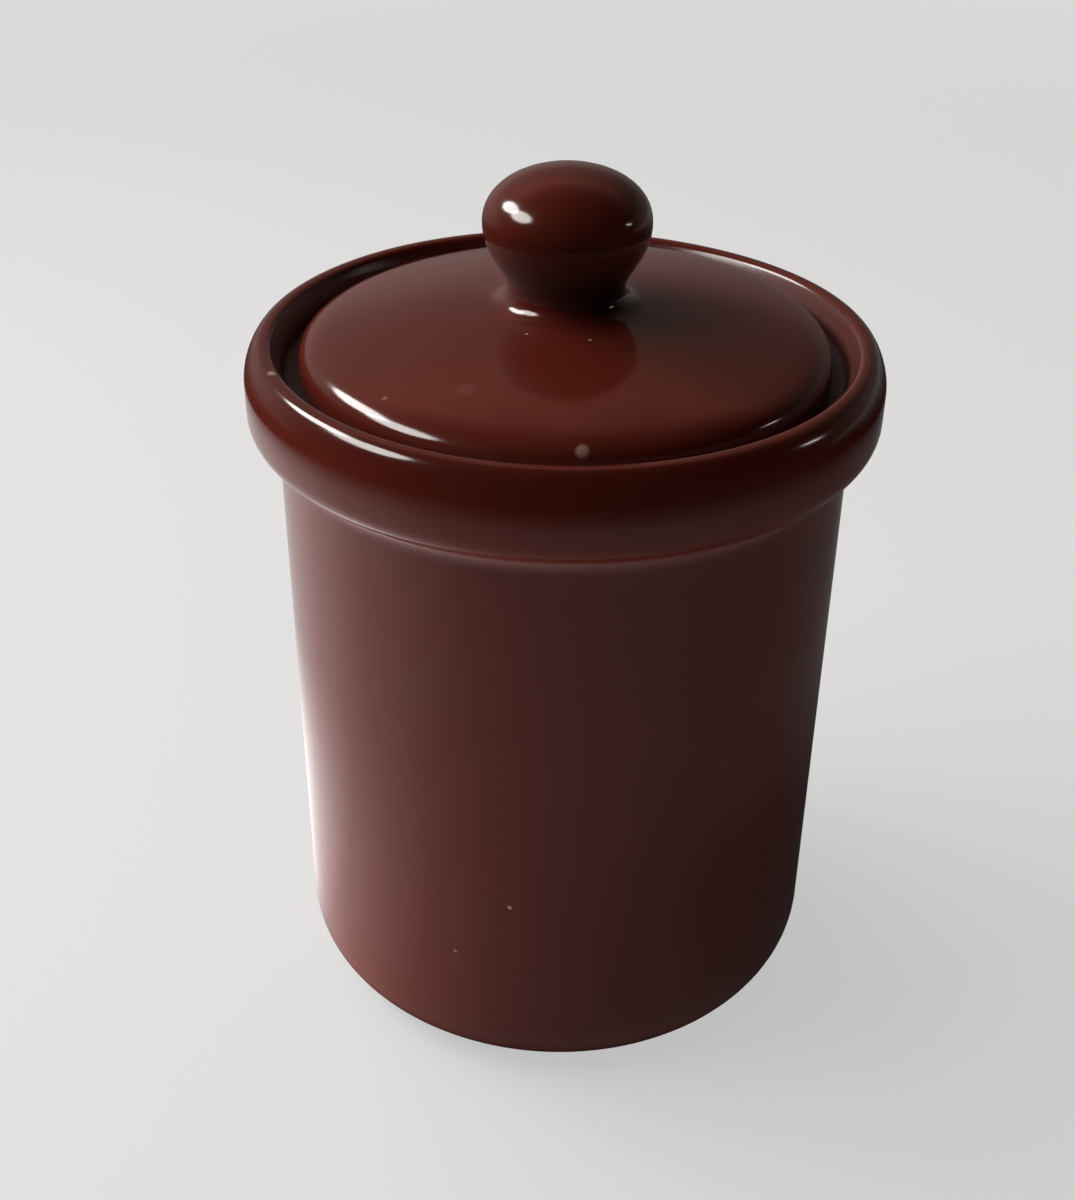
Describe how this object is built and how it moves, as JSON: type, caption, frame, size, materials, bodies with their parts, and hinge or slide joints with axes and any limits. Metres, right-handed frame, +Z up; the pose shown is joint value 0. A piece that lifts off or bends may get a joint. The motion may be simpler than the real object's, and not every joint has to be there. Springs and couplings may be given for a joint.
{
  "type": "storage canister",
  "caption": "Round glazed ceramic storage jar with a thick collar and a lift-off lid that sits inside the collar and carries a ball knob.",
  "frame": {"origin": "centre of the foot ring, on the surface that the canister stands on", "axes": "+Z up along the axis that the jar and lid are turned about; -Y towards the side that the picture shows"},
  "size_m": [0.13, 0.13, 0.185],
  "materials": {
    "jar_glaze": "gloss dark red-brown glaze, bare on the foot ring",
    "lid_glaze": "gloss dark red-brown glaze, bare on the end of the skirt"
  },
  "bodies": {
    "jar": {"jar": "jar_glaze"},
    "lid": {"lid": "lid_glaze"}
  },
  "joints": [
    {"name": "lid_lift", "type": "slide", "parent": "jar", "child": "lid", "axis": [0, 0, 1], "range_m": [0, 0.1]}
  ]
}
